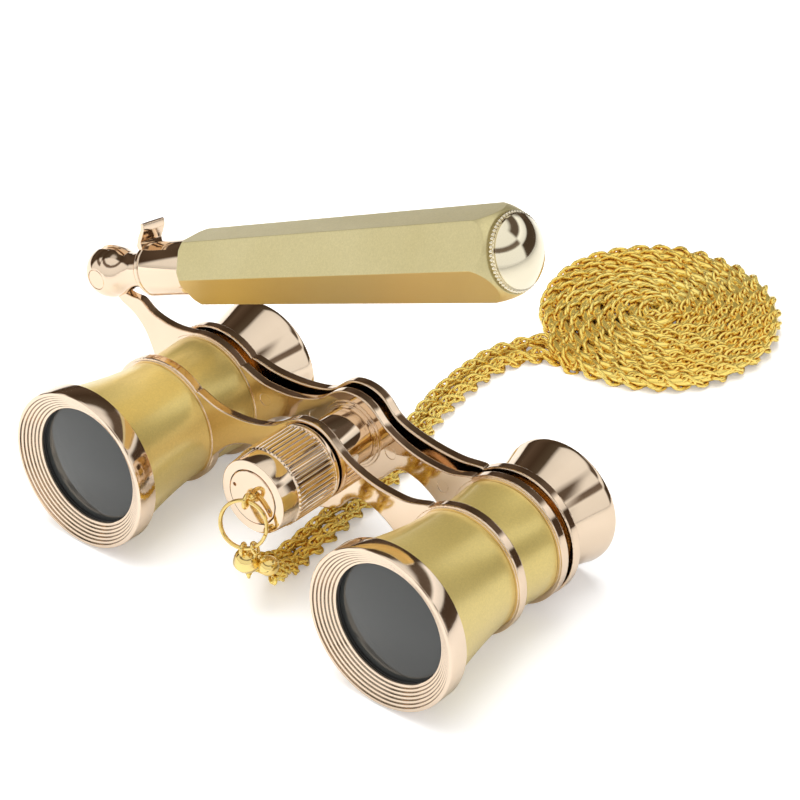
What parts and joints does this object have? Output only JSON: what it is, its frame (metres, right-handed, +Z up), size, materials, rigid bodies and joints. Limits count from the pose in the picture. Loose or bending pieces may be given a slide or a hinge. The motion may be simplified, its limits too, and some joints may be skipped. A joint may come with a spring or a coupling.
{
  "type": "opera glasses",
  "caption": "Small Galilean binocular with centre focusing, a folding and telescoping side handle, and a lanyard chain on a split ring.",
  "frame": {"origin": "midway between the two barrel axes, in the plane of the objective bezels' front faces", "axes": "X across the barrels (-X is the handle's side), +Y along the optical axes towards the eyecups, +Z up; at rest on a table the table plane rises 3.9 degrees towards +Y"},
  "size_m": [0.1219, 0.1574, 0.083],
  "materials": {
    "polished_rose_gold": "mirror-polished rose gold plating",
    "pearl_gold_enamel": "satin pearlescent khaki-gold enamel on metal shell",
    "satin_champagne": "satin champagne-gold",
    "yellow_gold": "polished yellow gold plating",
    "gold_chain": "polished yellow gold links",
    "optical_glass": "polished, coated",
    "blackened_metal": "matt black anodised",
    "black_plastic": "matt black",
    "tube_brass": "turned",
    "spring_steel": "bright"
  },
  "bodies": {
    "frame": {"left_objective_bezel": "polished_rose_gold", "left_objective_cell": "blackened_metal", "left_objective_lens": "optical_glass", "left_objective_lens_ring": "blackened_metal", "left_front_barrel": "pearl_gold_enamel", "left_body_tube": "tube_brass", "left_rear_barrel": "pearl_gold_enamel", "right_objective_bezel": "polished_rose_gold", "right_objective_cell": "blackened_metal", "right_objective_lens": "optical_glass", "right_objective_lens_ring": "blackened_metal", "right_front_barrel": "pearl_gold_enamel", "right_body_tube": "tube_brass", "right_rear_barrel": "pearl_gold_enamel", "front_bridge": "polished_rose_gold", "rear_bridge": "polished_rose_gold", "centre_tube": "polished_rose_gold", "chain_eyelet": "yellow_gold", "chain_strand_a": "gold_chain", "chain_strand_b": "gold_chain", "chain_coil": "gold_chain"},
    "focus_knob": {"focus_knob": "polished_rose_gold", "knob_end_disc": "polished_rose_gold", "focus_screw": "tube_brass", "screw_clip": "spring_steel"},
    "eyepiece_carriage": {"sliding_bridge": "polished_rose_gold", "focus_nut": "tube_brass", "nut_cap": "polished_rose_gold", "left_draw_tube": "tube_brass", "left_eyecup": "polished_rose_gold", "left_eyepiece_cell": "black_plastic", "left_eye_lens": "optical_glass", "left_eye_lens_ring": "blackened_metal", "right_draw_tube": "tube_brass", "right_eyecup": "polished_rose_gold", "right_eyepiece_cell": "black_plastic", "right_eye_lens": "optical_glass", "right_eye_lens_ring": "blackened_metal"},
    "handle_base": {"hinge_knuckle": "polished_rose_gold", "hinge_pin": "polished_rose_gold", "detent_plunger": "spring_steel", "detent_spring": "spring_steel", "ferrule": "polished_rose_gold", "inner_tube": "tube_brass", "slide_bush": "black_plastic"},
    "fold_latch": {"fold_latch": "polished_rose_gold"},
    "handle_sleeve": {"handle_sleeve": "satin_champagne", "sleeve_guide": "black_plastic", "beaded_ring": "polished_rose_gold", "handle_dome": "polished_rose_gold"},
    "lanyard_ring": {"split_ring": "yellow_gold", "chain_end_a": "yellow_gold", "chain_end_b": "yellow_gold"}
  },
  "joints": [
    {"name": "focus_turn", "type": "hinge", "parent": "frame", "child": "focus_knob", "pos_m": [0, 0.015, 0.00715], "axis": [0, -1, 0], "range_deg": [-90, 450]},
    {"name": "focus_travel", "type": "slide", "parent": "frame", "child": "eyepiece_carriage", "axis": [0, 1, 0], "range_m": [-0.001, 0.005]},
    {"name": "handle_fold", "type": "hinge", "parent": "frame", "child": "handle_base", "pos_m": [-0.06355, 0.0376, 0.01732], "axis": [0, -1, 0], "range_deg": [-4, 245]},
    {"name": "latch_turn", "type": "hinge", "parent": "handle_base", "child": "fold_latch", "pos_m": [-0.05209, 0.0376, 0.0223], "axis": [0.9171, 0, 0.3987], "range_deg": [-25, 25]},
    {"name": "handle_extend", "type": "slide", "parent": "handle_base", "child": "handle_sleeve", "axis": [0.9171, 0, 0.3987], "range_m": [0, 0.06]},
    {"name": "ring_swing", "type": "hinge", "parent": "frame", "child": "lanyard_ring", "pos_m": [0, 0.0064, 0.00715], "axis": [-0.9511, -0.309, 0], "range_deg": [-5, 20]}
  ],
  "couplings": [
    {"joint": "focus_turn", "follows": "focus_travel", "rad_per_m": 1570.8}
  ]
}
